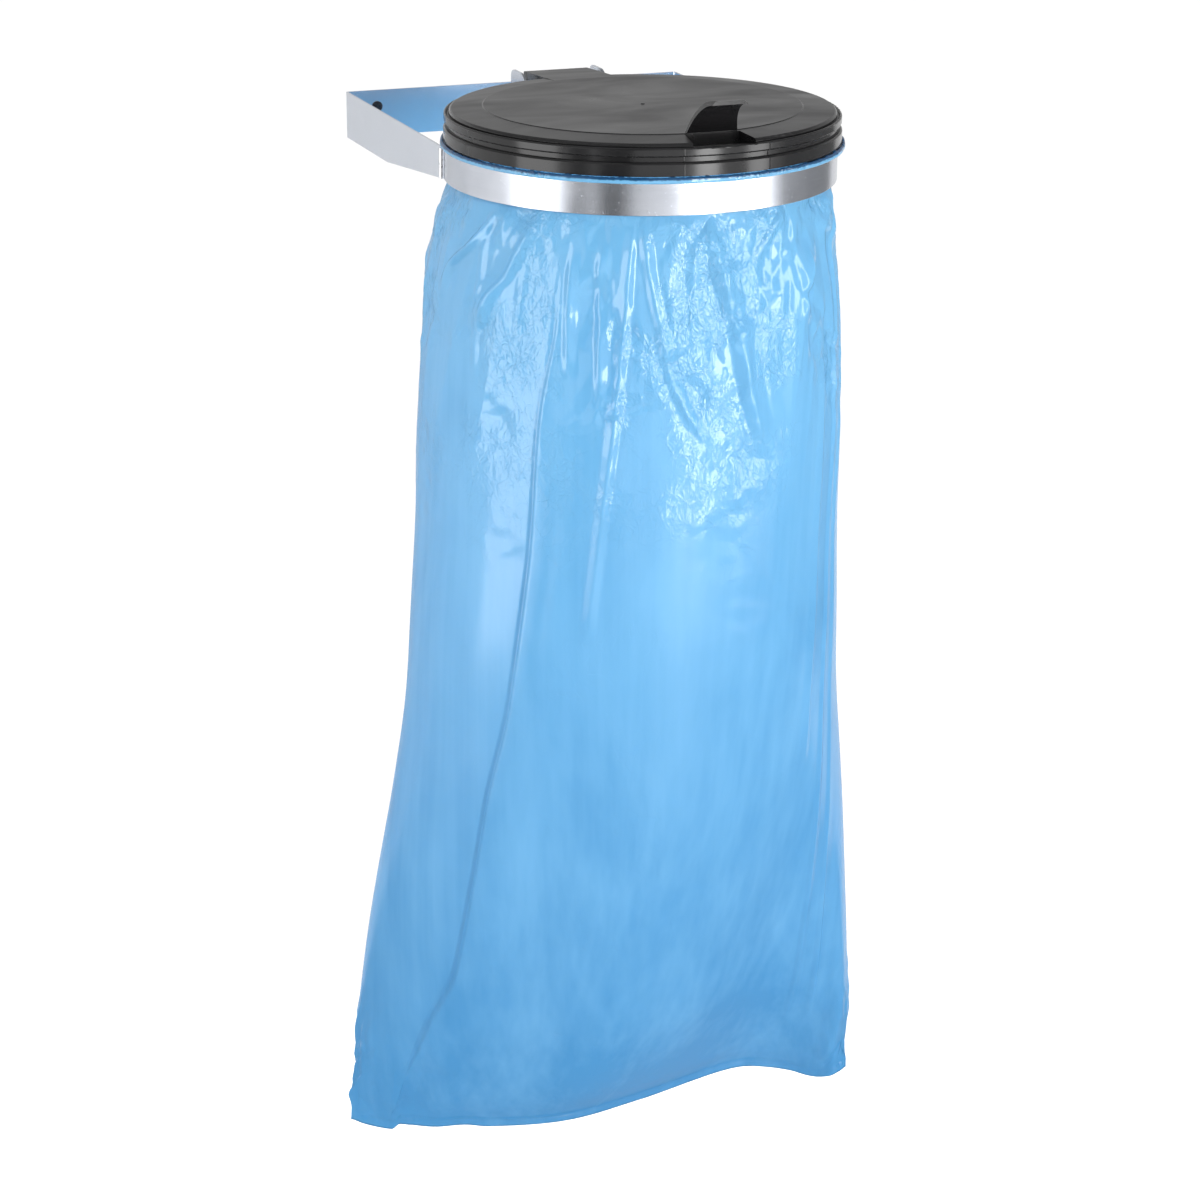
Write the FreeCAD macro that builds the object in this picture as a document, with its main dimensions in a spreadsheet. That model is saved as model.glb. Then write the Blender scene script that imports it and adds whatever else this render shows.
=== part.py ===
import FreeCAD, Part

import math
import os

import Sketcher

# A wall-mounted holder for refuse bags. Millimetres. The origin is midway between the two wall
# screws, on the wall. +Z is up, the wall is the plane Y = 0 and the holder stands out towards -Y.
# "Level" is a height above the lower edge of the hoop band, and "behind" is a distance from the
# centre of the hoop towards the wall.

DIMENSIONS = {
    # where the main pieces are
    "top_edge": 18.0,  # shared top edge of plate, arms and band, above the screws
    "hoop_distance": 385.0,  # from the wall to the centre of the hoop
    "ring_forward": 6.0,  # the lid and the clamp ring sit this far in front of the hoop's centre
    # wall bracket, one bent sheet
    "sheet_thickness": 2.5,
    "bracket_width": 391.0,
    "bracket_height": 50.0,
    "bend_radius": 4.0,
    "arm_end_behind": 50.0,
    "arm_kink": 151.0,  # from the wall to where the lower edge starts to rise
    # hoop band
    "hoop_radius": 200.0,
    "band_height": 32.0,
    "band_thickness": 2.5,
    "edge_round": 0.6,
    "weld_radius": 3.0,
    "weld_end_gap": 0.5,  # the beads stop this far short of the band's edges
    "arm_weld_out": 0.4,
    "arm_weld_forward": 1.2,
    "hinge_weld_radius": 2.4,
    "hinge_weld_out": 0.6,
    "hinge_weld_inset": 4.6,
    # clamp ring that holds the film in the hoop
    "clamp_radius": 190.0,
    "clamp_wall": 1.5,
    "clamp_bottom": 4.0,
    "flange_level": 33.0,
    "flange_radius": 203.5,
    "flange_lip": 5.6,
    "flange_round": 1.35,
    "lip_round": 0.6,
    # lid
    "skirt_radius": 201.5,
    "skirt_level": 39.6,
    "skirt_top": 52.5,
    "groove_radius": 197.5,
    "bead_level": 58.0,
    "bead_top": 66.8,
    "shoulder_radius": 196.0,
    "shoulder_level": 69.6,
    "plateau_radius": 161.0,
    "plateau_level": 73.4,
    "lid_wall": 2.5,
    "rib_depth": 7.0,
    "rib_thickness": 2.0,
    "rib_inset": 12.0,  # from the plateau's edge to the ribs' ends
    "gate_radius": 1.6,
    "gate_height": 0.7,
    "plateau_bevel": 0.7,
    "shoulder_round": 3.9,
    "shoulder_inset": 3.2,
    "bead_inset": 0.5,  # the bead stands back this far from the skirt
    "bead_round": 1.8,
    "bead_foot_round": 1.6,
    "bead_notch": 2.2,  # height of the step between the shoulder and the bead's top
    "skirt_round": 1.5,
    # grip over the finger pocket at the front of the lid
    "grip_centre": 8.0,  # to the right of the lid's middle
    "grip_half_width": 26.5,
    "grip_tip_half_width": 18.5,
    "grip_thickness": 4.0,
    "grip_rise": 37.5,
    "grip_reach": 43.5,
    "grip_face_radius": 52.0,
    "grip_corner": 6.0,
    "grip_lip_slope": 0.8,
    "pocket_depth": 13.0,
    "pocket_half_width": 29.0,
    "pocket_mouth_half_width": 34.0,
    "pocket_mouth_beyond": 2.5,  # the pocket runs out this far past the shoulder
    "pocket_rim_drop": 0.2,
    # hinge
    "block_half_width": 36.0,
    "block_rear_behind": 249.5,
    "block_rear_level": 67.5,
    "block_rear_height": 15.5,
    "block_overlap": 11.0,  # how far the block's top runs in over the plateau
    "block_top_drop": 0.2,
    "block_rim_inset": 3.5,
    "block_wall": 3.0,
    "pin_behind": 232.0,
    "pin_level": 40.0,
    "pin_radius": 4.0,
    "pin_clearance": 0.06,
    "knuckle_radius": 9.0,
    "ear_inner": 44.0,
    "ear_rear_behind": 261.0,
    "ear_top_level": 69.0,
    "ear_front_behind": 214.0,
    "ear_root_inset": 6.5,  # from the hoop's outside to the ear's root
    "ear_front_rise": 14.0,
    "ear_front_round": 17.94,
    "ear_rear_round": 8.97,
    "ear_heel_length": 34.0,
    "ear_heel_height": 30.0,
    "cap_radius": 7.5,
    "cap_length": 6.0,
    "spacer_radius": 8.0,
    "side_play": 0.4,
    # wall screws
    "screw_spacing": 320.0,
    "screw_radius": 3.0,
    "screw_neck_radius": 3.2,  # plain neck that centres the screw in the plate's hole
    "screw_length": 55.0,
    "screw_hole_radius": 3.4,
    "screw_head_radius": 5.8,
    "screw_head_height": 3.4,
    "screw_head_edge": 1.19,
    "screw_head_crown": 8.7,
    "recess_width": 1.5,
    "recess_length": 6.2,
    "recess_depth": 1.9,
    # refuse bag: half width and half depth at five heights, and how far its foot hangs to one side
    "film_wall": 0.8,
    "film_gap": 0.2,
    "film_top_drop": 0.4,
    "seam_height": 5.0,
    "neck_level": -4.0,
    "chest_level": -110.0,
    "chest_half": 221.0,
    "waist_level": -420.0,
    "waist_half_width": 236.0,
    "waist_half_depth": 205.0,
    "hip_level": -760.0,
    "hip_half_width": 262.0,
    "hip_half_depth": 150.0,
    "seam_level": -1062.0,
    "seam_half_width": 292.0,
    "seam_half_depth": 9.0,
    "foot_shift": -26.0,
    "seam_turn": -6.0,  # degrees about the vertical
}

# Lengths in this file that shape nothing: how far a cutting outline runs past its solid, how
# deep a wall reaches into the one it joins, and how near an edge is when it is picked by place.
PAST = 5.0
JOIN = 0.5
NEAR = 0.05

doc = FreeCAD.newDocument("refuse_bag_holder")


def vector(x, y, z=0.0):
    return FreeCAD.Vector(x, y, z)


class Size:
    """A length that knows its number and the expression that gives it from the sheet."""

    def __init__(self, text, value):
        self.text = text
        self.value = value

    def joined(self, sign, other, value, flip=False):
        other = other if isinstance(other, Size) else Size(repr(float(other)), float(other))
        first, second = (other, self) if flip else (self, other)
        return Size("(" + first.text + " " + sign + " " + second.text + ")", value)

    def __add__(self, other):
        return self.joined("+", other, self.value + number(other))

    def __radd__(self, other):
        return self.joined("+", other, self.value + number(other), flip=True)

    def __sub__(self, other):
        return self.joined("-", other, self.value - number(other))

    def __rsub__(self, other):
        return self.joined("-", other, number(other) - self.value, flip=True)

    def __mul__(self, other):
        return self.joined("*", other, self.value * number(other))

    __rmul__ = __mul__

    def __truediv__(self, other):
        return self.joined("/", other, self.value / number(other))

    def __neg__(self):
        return self * -1.0


def number(size):
    return size.value if isinstance(size, Size) else float(size)


def expression(size):
    return size.text if isinstance(size, Size) else repr(float(size))


def make_sheet():
    """The spreadsheet of driving dimensions: a name, a number and an alias in each row."""
    sheet = doc.addObject("Spreadsheet::Sheet", "dims")
    for row, (alias, value) in enumerate(DIMENSIONS.items(), start=1):
        sheet.set("A%d" % row, alias)
        sheet.set("B%d" % row, "%g" % value)
        sheet.setAlias("B%d" % row, alias)
    doc.recompute()
    return sheet


sheet = make_sheet()


def dim(alias):
    return Size("dims." + alias, float(sheet.get(alias)))


class Dims:
    """Gives every alias of the sheet as an attribute."""

    def __getattr__(self, alias):
        return dim(alias)


d = Dims()
band_foot = d.top_edge - d.band_height  # height of the band's lower edge above the screws


def new_body(name):
    body = doc.addObject("PartDesign::Body", name)
    body.Label = name
    return body


def place(piece, x=0.0, y=0.0, z=0.0, rotation=None):
    """Puts a piece in the holder's frame and binds its place to the sheet."""
    turn = rotation if rotation is not None else FreeCAD.Rotation()
    piece.Placement = FreeCAD.Placement(vector(number(x), number(y), number(z)), turn)
    for axis, value in zip("xyz", (x, y, z)):
        if isinstance(value, Size):
            piece.setExpression("Placement.Base." + axis, value.text)


def new_sketch(body, name, role, lift=0.0):
    """A sketch on one of the body's origin planes, lifted along the plane's normal."""
    sketch = body.newObject("Sketcher::SketchObject", body.Name + "_" + name)
    origin_plane = next(f for f in body.Origin.OriginFeatures if f.Role == role)
    sketch.AttachmentSupport = [(origin_plane, "")]
    sketch.MapMode = "FlatFace"
    sketch.AttachmentOffset.Base.z = number(lift)
    sketch.setExpression("AttachmentOffset.Base.z", expression(lift))
    return sketch


def pin_down(sketch, kind, edge, point, size):
    """Fixes one coordinate of a sketch point, measured from the sketch's origin."""
    index = sketch.addConstraint(
        Sketcher.Constraint(kind, -1, 1, edge, point, number(size))
    )
    sketch.setExpression("Constraints[%d]" % index, expression(size))


def arc_between(start, end, radius):
    """A circular arc between two points; a positive radius bulges to the left of the chord."""
    chord = end - start
    half = chord.Length / 2.0
    left = vector(-chord.y, chord.x).normalize()
    side = 1.0 if radius > 0 else -1.0
    centre = (start + end) / 2.0 - left * (side * math.sqrt(radius * radius - half * half))
    first, last = (end, start) if radius > 0 else (start, end)
    angles = [math.atan2(point.y - centre.y, point.x - centre.x) for point in (first, last)]
    if angles[1] < angles[0]:
        angles[1] += 2.0 * math.pi
    whole = Part.Circle(centre, vector(0, 0, 1), abs(radius))
    return Part.ArcOfCircle(whole, angles[0], angles[1])


def outline(sketch, corners, arcs=None):
    """A closed outline through the corners. arcs gives the signed radius of the edges that bend."""
    arcs = arcs or {}
    count = len(corners)
    points = [vector(number(x), number(y)) for x, y in corners]
    ends = []
    for i in range(count):
        start, end = points[i], points[(i + 1) % count]
        if i in arcs:
            edge = sketch.addGeometry(arc_between(start, end, number(arcs[i])), False)
            ends.append((edge, 2, 1) if number(arcs[i]) > 0 else (edge, 1, 2))
        else:
            edge = sketch.addGeometry(Part.LineSegment(start, end), False)
            ends.append((edge, 1, 2))
    for i in range(count):
        edge, _, last = ends[i]
        following, begin, _ = ends[(i + 1) % count]
        sketch.addConstraint(Sketcher.Constraint("Coincident", edge, last, following, begin))
    for i, (x, y) in enumerate(corners):
        edge, begin, _ = ends[i]
        pin_down(sketch, "DistanceX", edge, begin, x)
        pin_down(sketch, "DistanceY", edge, begin, y)
    for i, radius in arcs.items():
        index = sketch.addConstraint(
            Sketcher.Constraint("Radius", ends[i][0], abs(number(radius)))
        )
        text = expression(radius)
        sketch.setExpression("Constraints[%d]" % index, "abs(" + text + ")")


def circle(sketch, x, y, radius):
    edge = sketch.addGeometry(
        Part.Circle(vector(number(x), number(y)), vector(0, 0, 1), number(radius)), False
    )
    pin_down(sketch, "DistanceX", edge, 3, x)
    pin_down(sketch, "DistanceY", edge, 3, y)
    index = sketch.addConstraint(Sketcher.Constraint("Radius", edge, number(radius)))
    sketch.setExpression("Constraints[%d]" % index, expression(radius))


def rectangle(sketch, low_x, low_y, high_x, high_y):
    outline(sketch, [(low_x, low_y), (high_x, low_y), (high_x, high_y), (low_x, high_y)])


def feature(body, kind, name, sketch):
    made = body.newObject("PartDesign::" + kind, body.Name + "_" + name)
    made.Profile = sketch
    return made


def pad(body, name, sketch, length, symmetric=False, downwards=False):
    made = feature(body, "Pad", name, sketch)
    made.SideType = "Symmetric" if symmetric else "One side"
    made.Reversed = downwards
    made.setExpression("Length", expression(length))
    doc.recompute()
    return made


def pocket(body, name, sketch, depth=None, symmetric=True, backwards=False):
    """A pocket through everything, or of a given depth. It must take material away."""
    doc.recompute()
    before = body.Shape.Volume
    made = feature(body, "Pocket", name, sketch)
    made.SideType = "Symmetric" if symmetric else "One side"
    made.Reversed = backwards
    if depth is None:
        made.Type = "ThroughAll"
    else:
        made.setExpression("Length", expression(depth))
    doc.recompute()
    if body.Shape.Volume > before - 0.01:
        raise RuntimeError(made.Name + " cuts nothing")
    return made


def revolve(body, name, sketch):
    made = feature(body, "Revolution", name, sketch)
    made.ReferenceAxis = (sketch, ["V_Axis"])
    made.Angle = 360.0
    doc.recompute()
    return made


def loft(body, kind, name, near, far):
    made = feature(body, kind, name, near)
    made.Sections = [far]
    doc.recompute()
    return made


def fillet(body, name, wanted, radius):
    """Rounds the edges whose middle point passes the test."""
    doc.recompute()
    base = body.Tip
    chosen = []
    for i, edge in enumerate(base.Shape.Edges, start=1):
        middle = edge.valueAt((edge.FirstParameter + edge.LastParameter) / 2.0)
        if wanted(middle, edge):
            chosen.append("Edge%d" % i)
    if not chosen:
        raise RuntimeError(body.Name + "_" + name + " finds no edge")
    made = body.newObject("PartDesign::Fillet", body.Name + "_" + name)
    made.Base = (base, chosen)
    made.setExpression("Radius", expression(radius))
    doc.recompute()
    return made


def is_upright(edge):
    """True for a straight vertical edge."""
    ends = [v.Point for v in edge.Vertexes]
    if len(ends) != 2 or not isinstance(edge.Curve, Part.Line):
        return False
    return abs(ends[0].x - ends[1].x) < NEAR and abs(ends[0].y - ends[1].y) < NEAR


def is_ring(edge, radius, level):
    """True for a full circle about the vertical axis, of about that radius and level."""
    if not isinstance(edge.Curve, Part.Circle):
        return False
    centre = edge.Curve.Center
    near_axis = math.hypot(centre.x, centre.y) < NEAR
    return near_axis and abs(edge.Curve.Radius - radius) < NEAR and abs(centre.z - level) < NEAR


# ---------------------------------------------------------------- wall bracket


def make_wall_bracket():
    """Back plate and two arms, bent from one sheet. The arms end against the hoop."""
    body = new_body("wall_bracket")
    place(body)
    half = d.bracket_width / 2
    inner = half - d.sheet_thickness
    arm_end = d.arm_end_behind - d.hoop_distance
    plan = new_sketch(body, "plan", "XY_Plane", d.top_edge)
    outline(
        plan,
        [
            (-half, 0.0),
            (-half, arm_end),
            (-inner, arm_end),
            (-inner, -d.sheet_thickness),
            (inner, -d.sheet_thickness),
            (inner, arm_end),
            (half, arm_end),
            (half, 0.0),
        ],
    )
    pad(body, "sheet", plan, d.bracket_height, downwards=True)
    foot = d.top_edge - d.bracket_height
    slope = new_sketch(body, "slope", "YZ_Plane")
    outline(
        slope,
        [
            (-d.arm_kink, foot),
            (-d.arm_kink, foot - PAST),
            (arm_end - PAST, foot - PAST),
            (arm_end - PAST, band_foot),
            (arm_end, band_foot),
        ],
    )
    pocket(body, "slope_cut", slope)
    hoop = new_sketch(body, "hoop_circle", "XY_Plane")
    circle(hoop, 0.0, -d.hoop_distance, d.hoop_radius)
    pocket(body, "hoop_cut", hoop)
    holes = new_sketch(body, "screw_holes", "XZ_Plane")
    for side in (-1.0, 1.0):
        circle(holes, d.screw_spacing * (side / 2), 0.0, d.screw_hole_radius)
    pocket(body, "screw_hole_cut", holes)
    fillet(
        body,
        "outer_bends",
        lambda p, e: is_upright(e)
        and abs(abs(p.x) - number(half)) < NEAR
        and abs(p.y) < NEAR,
        d.bend_radius,
    )
    fillet(
        body,
        "inner_bends",
        lambda p, e: is_upright(e)
        and abs(abs(p.x) - number(inner)) < NEAR
        and abs(p.y + number(d.sheet_thickness)) < NEAR,
        d.bend_radius - d.sheet_thickness,
    )
    return body


# ---------------------------------------------------------------- hoop and clamp ring


def make_hoop_band():
    """Flat strip bent to an upright ring."""
    body = new_body("hoop_band")
    place(body, 0.0, -d.hoop_distance, band_foot)
    section = new_sketch(body, "section", "XZ_Plane")
    rectangle(section, d.hoop_radius - d.band_thickness, 0.0, d.hoop_radius, d.band_height)
    revolve(body, "ring", section)
    fillet(body, "edges", lambda p, e: isinstance(e.Curve, Part.Circle), d.edge_round)
    return body


def make_clamp_ring():
    """Loose ring inside the hoop. Its flange lies over the band and its lip carries the film."""
    body = new_body("bag_clamp_ring")
    place(body, 0.0, -d.hoop_distance - d.ring_forward, band_foot)
    inside = d.clamp_radius - d.clamp_wall
    lip_inside = d.flange_radius - d.clamp_wall
    flange_top = d.flange_level + d.clamp_wall
    lip_top = d.flange_level + d.flange_lip
    section = new_sketch(body, "section", "XZ_Plane")
    outline(
        section,
        [
            (inside, d.clamp_bottom),
            (d.clamp_radius, d.clamp_bottom),
            (d.clamp_radius, d.flange_level),
            (d.flange_radius, d.flange_level),
            (d.flange_radius, lip_top),
            (lip_inside, lip_top),
            (lip_inside, flange_top),
            (inside, flange_top),
        ],
    )
    revolve(body, "ring", section)
    outer, level = number(d.flange_radius), number(d.flange_level)
    fillet(body, "flange_edge", lambda p, e: is_ring(e, outer, level), d.flange_round)
    top = number(lip_top)
    fillet(
        body,
        "lip_edge",
        lambda p, e: is_ring(e, outer, top) or is_ring(e, number(lip_inside), top),
        d.lip_round,
    )
    return body


# ---------------------------------------------------------------- lid


def lid_section(body):
    """Half section of the moulding: plateau, shoulder, bead, groove and skirt, and its inside."""
    section = new_sketch(body, "section", "XZ_Plane")
    under = d.plateau_level - d.lid_wall
    neck = d.groove_radius - d.lid_wall
    bead_edge = d.skirt_radius - d.bead_inset
    notch = d.bead_top - d.bead_notch
    inside = d.skirt_radius - d.lid_wall
    outline(
        section,
        [
            (0.0, under),
            (0.0, d.plateau_level + d.gate_height),
            (d.gate_radius, d.plateau_level + d.gate_height),
            (d.gate_radius + d.gate_height, d.plateau_level),
            (d.plateau_radius, d.plateau_level),
            (d.plateau_radius + 2 * d.plateau_bevel, d.plateau_level - d.plateau_bevel),
            (d.shoulder_radius - d.shoulder_inset, d.shoulder_level + d.plateau_bevel),
            (d.shoulder_radius, d.shoulder_level - d.shoulder_inset * 0.6),
            (d.shoulder_radius, notch),
            (d.groove_radius, notch),
            (bead_edge - d.bead_round, d.bead_top),
            (bead_edge, d.bead_top - d.bead_round),
            (bead_edge, d.bead_level + d.bead_foot_round),
            (bead_edge - d.bead_foot_round, d.bead_level),
            (d.groove_radius, d.bead_level - d.bead_inset),
            (d.groove_radius, d.skirt_top + d.bead_inset),
            (d.skirt_radius - d.skirt_round, d.skirt_top),
            (d.skirt_radius, d.skirt_top - d.skirt_round),
            (d.skirt_radius, d.skirt_level),
            (inside, d.skirt_level),
            (inside, d.skirt_top - d.lid_wall - d.skirt_round),
            (neck, d.skirt_top - d.skirt_round),
            (neck, d.bead_top - d.lid_wall),
            (d.shoulder_radius - 2 * d.lid_wall, under - d.lid_wall),
            (d.plateau_radius, under),
        ],
        arcs={6: d.shoulder_round, 10: d.bead_round, 12: d.bead_foot_round},
    )
    return section


def add_finger_pocket(body):
    """A scoop in the shoulder in front of the plateau, with a wall of its own under it."""
    rim = d.bead_top - d.pocket_rim_drop
    floor = d.plateau_level - d.pocket_depth
    above = d.plateau_level + PAST
    left = d.grip_centre - d.pocket_half_width
    right = d.grip_centre + d.pocket_half_width
    mouth_left = d.grip_centre - d.pocket_mouth_half_width
    mouth_right = d.grip_centre + d.pocket_mouth_half_width
    wall = d.lid_wall
    wall_back = new_sketch(body, "pocket_wall_back", "XZ_Plane", d.plateau_radius - wall)
    rectangle(wall_back, left - wall, floor - wall, right + wall, d.plateau_level - wall * 0.5)
    wall_front = new_sketch(body, "pocket_wall_front", "XZ_Plane", d.shoulder_radius - wall)
    rectangle(
        wall_front, mouth_left - wall, rim - wall - JOIN, mouth_right + wall, rim - JOIN
    )
    loft(body, "AdditiveLoft", "pocket_wall", wall_back, wall_front)
    cut_back = new_sketch(body, "pocket_back", "XZ_Plane", d.plateau_radius)
    rectangle(cut_back, left, floor, right, above)
    mouth = d.shoulder_radius + d.pocket_mouth_beyond
    cut_front = new_sketch(body, "pocket_front", "XZ_Plane", mouth)
    rectangle(cut_front, mouth_left, rim, mouth_right, above)
    loft(body, "SubtractiveLoft", "pocket_space", cut_back, cut_front)


def add_grip(body):
    """A tab that rises at the plateau's front edge and curls forward over the pocket."""
    base = -d.plateau_radius
    tip = base - d.grip_reach
    top = d.plateau_level + d.grip_rise
    root = d.plateau_level - d.pocket_depth - d.lid_wall * 0.5
    side = new_sketch(body, "grip_side", "YZ_Plane", d.grip_centre)
    outline(
        side,
        [
            (base, root),
            (base, d.plateau_level),
            (tip, top - d.grip_thickness),
            (tip + d.grip_lip_slope, top),
            (base + d.grip_thickness, d.plateau_level),
            (base + d.grip_thickness, root),
        ],
        arcs={1: -d.grip_face_radius, 3: d.grip_face_radius},
    )
    pad(body, "grip", side, 2 * d.grip_half_width, symmetric=True)
    front = new_sketch(body, "grip_front", "XZ_Plane")
    foot = d.plateau_level + JOIN
    high = top + PAST
    shoulder = top - d.grip_corner
    for sign in (-1.0, 1.0):
        edge = d.grip_centre + sign * d.grip_half_width
        flat_end = d.grip_centre + sign * (d.grip_tip_half_width - d.grip_corner)
        outline(
            front,
            [
                (edge, foot),
                (edge + sign * PAST, foot),
                (edge + sign * PAST, high),
                (flat_end, high),
                (flat_end, top),
                (d.grip_centre + sign * d.grip_tip_half_width, shoulder),
            ],
            arcs={4: sign * d.grip_corner},
        )
    pocket(body, "grip_outline", front)


def add_hinge_block(body):
    """A block over the rear rim that carries two knuckles on the hinge pin."""
    forward = d.ring_forward
    rear = d.block_rear_behind + forward
    pin = d.pin_behind + forward
    low = d.pin_level - d.knuckle_radius
    rim = d.skirt_radius - d.block_rim_inset
    top_front = d.plateau_radius - d.block_overlap
    underside = d.plateau_level - 2 * d.lid_wall
    side = new_sketch(body, "block_side", "YZ_Plane")
    outline(
        side,
        [
            (top_front, d.plateau_level - d.block_top_drop),
            (rear, d.block_rear_level),
            (rear, d.block_rear_level - d.block_rear_height),
            (pin + d.knuckle_radius, d.pin_level),
            (pin - d.knuckle_radius, d.pin_level),
            (pin - d.knuckle_radius, d.skirt_top),
            (rim, d.skirt_top),
            (rim, underside),
            (top_front, underside),
        ],
        arcs={3: d.knuckle_radius + 0.001},
    )
    pad(body, "block", side, 2 * d.block_half_width, symmetric=True)
    wall = d.block_wall
    hollow = new_sketch(body, "block_hollow", "YZ_Plane")
    outline(
        hollow,
        [
            (d.skirt_radius + JOIN, d.skirt_top - PAST),
            (pin - d.knuckle_radius - wall, d.skirt_top - PAST),
            (pin - d.knuckle_radius - wall, d.block_rear_level - wall),
            (d.skirt_radius + JOIN, d.block_rear_level - wall),
        ],
    )
    pocket(body, "block_hollow_cut", hollow, 2 * (d.block_half_width - wall))
    between = new_sketch(body, "knuckle_gap", "YZ_Plane")
    rectangle(
        between,
        pin - d.knuckle_radius + wall,
        low - PAST,
        rear - wall,
        d.block_rear_level - 2 * wall,
    )
    pocket(body, "knuckle_gap_cut", between, d.block_half_width)
    bore = new_sketch(body, "bore", "YZ_Plane")
    circle(bore, pin, d.pin_level, d.pin_radius + d.pin_clearance)
    pocket(body, "bore_cut", bore)


def add_ribs(body):
    """Two crossed ribs under the plateau."""
    under = d.plateau_level - d.lid_wall
    reach = d.plateau_radius - d.rib_inset
    half = d.rib_thickness / 2
    for name, corner in (("rib_across", (reach, half)), ("rib_along", (half, reach))):
        plan = new_sketch(body, name + "_plan", "XY_Plane", under + JOIN)
        rectangle(plan, -corner[0], -corner[1], corner[0], corner[1])
        pad(body, name, plan, d.rib_depth, downwards=True)


def make_lid():
    """One moulding: dished cover, ribs, finger pocket, grip and hinge block."""
    body = new_body("lid")
    place(body, 0.0, -d.hoop_distance - d.ring_forward, band_foot)
    revolve(body, "cover", lid_section(body))
    add_ribs(body)
    add_finger_pocket(body)
    add_grip(body)
    add_hinge_block(body)
    rear = number(d.block_rear_behind + d.ring_forward)
    fillet(
        body,
        "block_rear_edge",
        lambda p, e: abs(p.y - rear) < NEAR and abs(p.z - number(d.block_rear_level)) < NEAR,
        d.lid_wall,
    )
    return body


# ---------------------------------------------------------------- hinge


def make_hinge_bracket():
    """A saddle bent round the back of the hoop, with an upright ear at each end."""
    body = new_body("hinge_bracket")
    place(body, 0.0, -d.hoop_distance, band_foot)
    outer = d.ear_inner + d.sheet_thickness
    saddle = new_sketch(body, "saddle_plan", "XY_Plane")
    rectangle(saddle, -outer, d.hoop_radius - 4 * PAST, outer, d.hoop_radius + 4 * PAST)
    pad(body, "saddle", saddle, d.band_height)
    inside = new_sketch(body, "hoop_circle", "XY_Plane")
    circle(inside, 0.0, 0.0, d.hoop_radius)
    pocket(body, "hoop_cut", inside)
    outside = new_sketch(body, "saddle_back", "XY_Plane")
    circle(outside, 0.0, 0.0, d.hoop_radius + d.sheet_thickness)
    circle(outside, 0.0, 0.0, d.ear_rear_behind)
    pocket(body, "saddle_back_cut", outside)
    ears = new_sketch(body, "ear_plan", "XY_Plane")
    root = d.hoop_radius - d.ear_root_inset
    for sign in (-1.0, 1.0):
        outline(
            ears,
            [
                (sign * d.ear_inner, root),
                (sign * outer, root),
                (sign * outer, d.ear_rear_behind),
                (sign * d.ear_inner, d.ear_rear_behind),
            ],
        )
    pad(body, "ears", ears, d.ear_top_level)
    again = new_sketch(body, "hoop_circle_again", "XY_Plane")
    circle(again, 0.0, 0.0, d.hoop_radius)
    pocket(body, "ear_root_cut", again, d.ear_top_level, symmetric=False, backwards=True)
    front = new_sketch(body, "ear_front", "YZ_Plane")
    outline(
        front,
        [
            (root - PAST, d.band_height),
            (d.hoop_radius, d.band_height),
            (d.ear_front_behind, d.band_height + d.ear_front_rise),
            (d.ear_front_behind, d.ear_top_level + PAST),
            (root - PAST, d.ear_top_level + PAST),
        ],
    )
    pocket(body, "ear_front_cut", front)
    heel = new_sketch(body, "ear_heel", "YZ_Plane")
    outline(
        heel,
        [
            (d.ear_rear_behind - d.ear_heel_length, -PAST),
            (d.ear_rear_behind + PAST, -PAST),
            (d.ear_rear_behind + PAST, d.ear_heel_height),
            (d.ear_rear_behind, d.ear_heel_height),
            (d.ear_rear_behind - d.ear_heel_length, 0.0),
        ],
    )
    pocket(body, "ear_heel_cut", heel)
    holes = new_sketch(body, "pin_holes", "YZ_Plane")
    circle(holes, d.pin_behind, d.pin_level, d.pin_radius + d.pin_clearance / 2)
    pocket(body, "pin_hole_cut", holes)
    top = number(d.ear_top_level)
    fillet(
        body,
        "ear_front_round",
        lambda p, e: abs(p.z - top) < NEAR and abs(p.y - number(d.ear_front_behind)) < NEAR,
        d.ear_front_round,
    )
    fillet(
        body,
        "ear_rear_round",
        lambda p, e: abs(p.z - top) < NEAR and abs(p.y - number(d.ear_rear_behind)) < NEAR,
        d.ear_rear_round,
    )
    return body


def make_hinge_pin():
    """Plain steel pin across both ears."""
    pin = doc.addObject("Part::Cylinder", "hinge_pin")
    pin.Label = "hinge_pin"
    half = d.ear_inner + d.sheet_thickness + d.cap_length * 0.75
    pin.setExpression("Radius", d.pin_radius.text)
    pin.setExpression("Height", expression(2 * half))
    across = FreeCAD.Rotation(vector(0, 1, 0), 90)
    place(pin, -half, d.pin_behind - d.hoop_distance, band_foot + d.pin_level, across)
    return pin


def make_pin_cap(name, side):
    """Push-on cap over one end of the pin, outside the ear."""
    body = new_body(name)
    section = new_sketch(body, "section", "XZ_Plane")
    bore = d.pin_radius + d.pin_clearance / 2
    outline(
        section,
        [
            (bore, 0.0),
            (d.cap_radius, 0.0),
            (d.cap_radius, d.cap_length * 0.45),
            (d.cap_radius * 0.5, d.cap_length),
            (0.0, d.cap_length),
            (0.0, d.cap_length * 0.8),
            (bore, d.cap_length * 0.8),
        ],
        arcs={2: -d.cap_length},
    )
    revolve(body, "cup", section)
    outward = FreeCAD.Rotation(vector(0, 1, 0), 90 * side)
    face = side * (d.ear_inner + d.sheet_thickness)
    place(body, face, d.pin_behind - d.hoop_distance, band_foot + d.pin_level, outward)
    return body


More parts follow.
